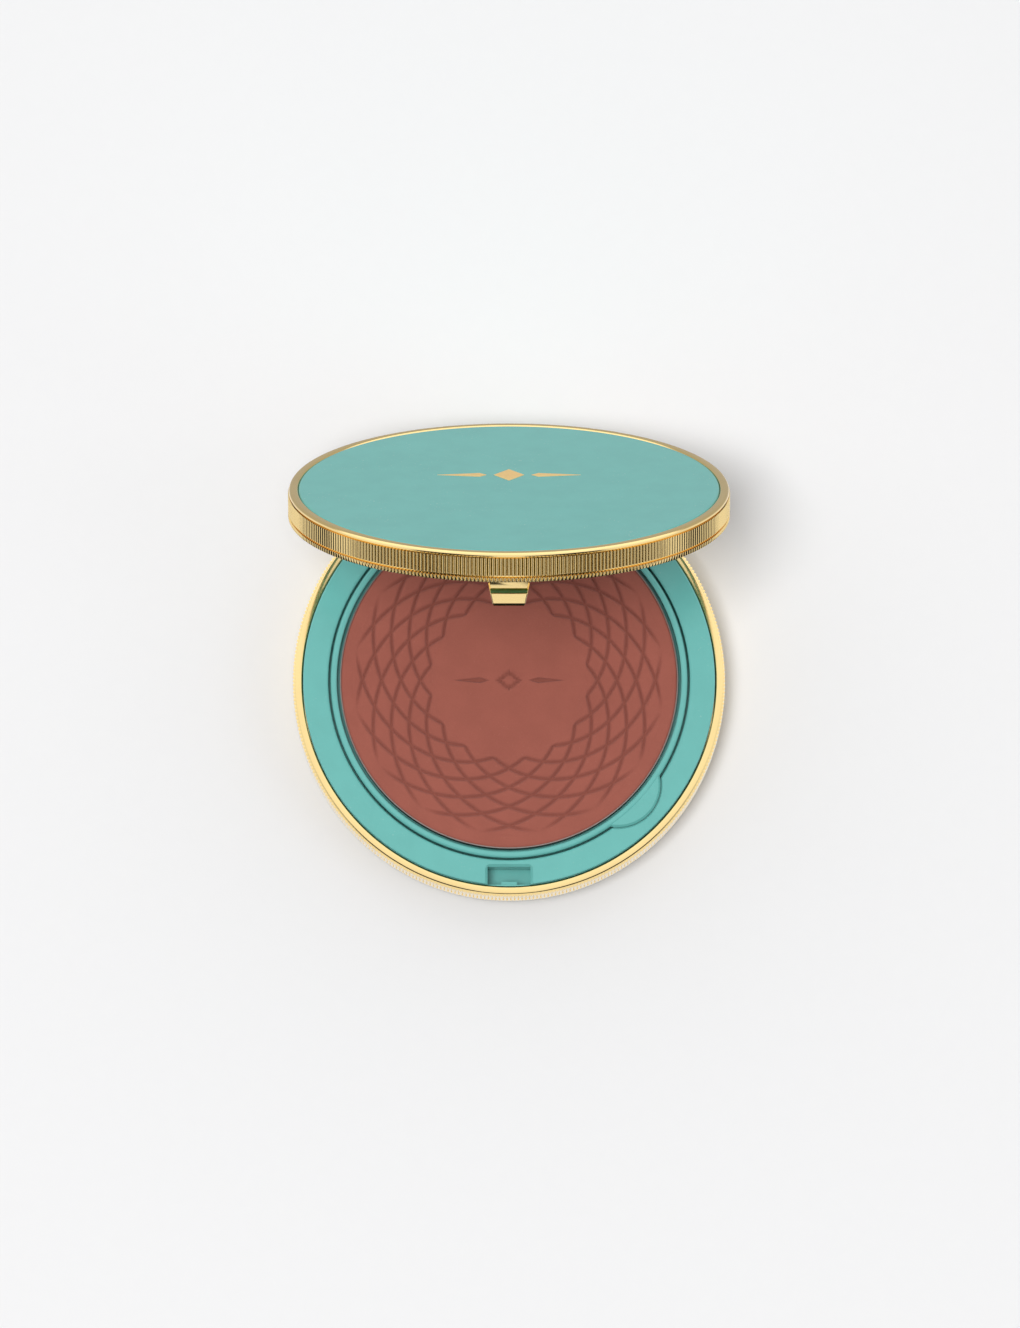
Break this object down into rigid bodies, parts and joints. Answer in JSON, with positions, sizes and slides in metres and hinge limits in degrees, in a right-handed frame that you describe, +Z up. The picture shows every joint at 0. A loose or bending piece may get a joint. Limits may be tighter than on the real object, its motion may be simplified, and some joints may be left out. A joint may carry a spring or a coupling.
{
  "type": "powder compact",
  "caption": "Round powder compact with a reeded metal rim, a hinged mirrored lid, and a lift-up tray of embossed pressed powder over a puff compartment.",
  "frame": {"origin": "centre of the base's underside, on the axis of the round case", "axes": "+Z up through the case's axis, front (latch) towards -Y, hinge pin along X at the rear (+Y)"},
  "size_m": [0.084, 0.0917, 0.0935],
  "materials": {
    "lacquer": "glossy teal lacquer",
    "gold_metal": "polished, gold anodised",
    "steel": "drawn wire",
    "pan_metal": "plain, satin",
    "powder": "matte pressed powder",
    "velour": "short pile",
    "satin": "satin ribbon",
    "paper": "plain white label",
    "adhesive": "adhesive film",
    "mirror_glass": "silvered glass"
  },
  "bodies": {
    "base": {"bottom_plate": "lacquer", "bottom_label": "paper", "base_ring": "gold_metal", "inner_case": "lacquer", "hinge_pin": "steel", "puff": "velour", "puff_ribbon": "satin"},
    "tray": {"powder_tray": "lacquer", "pan": "pan_metal", "pan_adhesive": "adhesive", "pressed_powder": "powder"},
    "lid": {"lid_ring": "gold_metal", "lid_plate": "lacquer", "lid_ornament": "gold_metal", "plate_adhesive": "adhesive", "lid_shell": "lacquer", "mirror": "mirror_glass", "mirror_tape": "adhesive", "latch_tongue": "gold_metal"}
  },
  "joints": [
    {"name": "tray_hinge", "type": "hinge", "parent": "base", "child": "tray", "pos_m": [0, 0.045, 0.01205], "axis": [-1, 0, 0], "range_deg": [0, 45]},
    {"name": "lid_hinge", "type": "hinge", "parent": "tray", "child": "lid", "pos_m": [0, 0.045, 0.01205], "axis": [-1, 0, 0], "range_deg": [-65, 60]}
  ]
}
